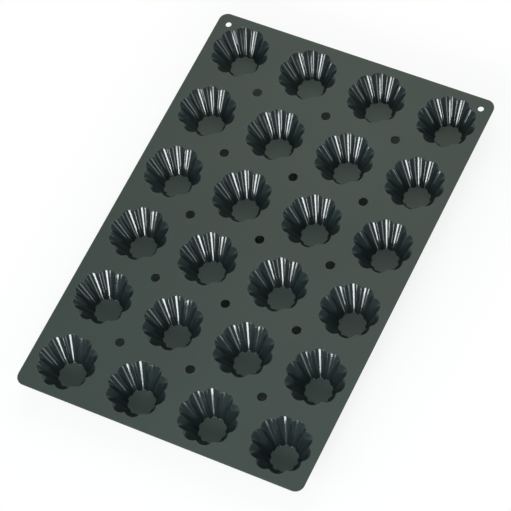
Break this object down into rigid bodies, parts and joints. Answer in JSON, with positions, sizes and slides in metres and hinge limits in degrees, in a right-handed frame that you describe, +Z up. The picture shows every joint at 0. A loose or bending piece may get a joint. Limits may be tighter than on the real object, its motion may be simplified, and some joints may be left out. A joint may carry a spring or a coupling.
{
  "type": "silicone brioche mould",
  "caption": "Flat flexible silicone baking sheet with a grid of fluted tapered cups for individual brioches, small vents between the cups and hanging holes at one end.",
  "frame": {"origin": "under the middle of the sheet, on the surface that the cup floors stand on", "axes": "+Z up out of the cups' mouths, +Y along the long side towards the hanging holes, +X along the short side"},
  "size_m": [0.4, 0.6, 0.042],
  "materials": {
    "silicone_deck": "satin",
    "silicone_cup": "gloss"
  },
  "bodies": {
    "root": {"deck": "silicone_deck", "cup_r1_c1": "silicone_cup", "cup_r1_c2": "silicone_cup", "cup_r1_c3": "silicone_cup", "cup_r1_c4": "silicone_cup", "cup_r2_c1": "silicone_cup", "cup_r2_c2": "silicone_cup", "cup_r2_c3": "silicone_cup", "cup_r2_c4": "silicone_cup", "cup_r3_c1": "silicone_cup", "cup_r3_c2": "silicone_cup", "cup_r3_c3": "silicone_cup", "cup_r3_c4": "silicone_cup", "cup_r4_c1": "silicone_cup", "cup_r4_c2": "silicone_cup", "cup_r4_c3": "silicone_cup", "cup_r4_c4": "silicone_cup", "cup_r5_c1": "silicone_cup", "cup_r5_c2": "silicone_cup", "cup_r5_c3": "silicone_cup", "cup_r5_c4": "silicone_cup", "cup_r6_c1": "silicone_cup", "cup_r6_c2": "silicone_cup", "cup_r6_c3": "silicone_cup", "cup_r6_c4": "silicone_cup"}
  },
  "joints": []
}
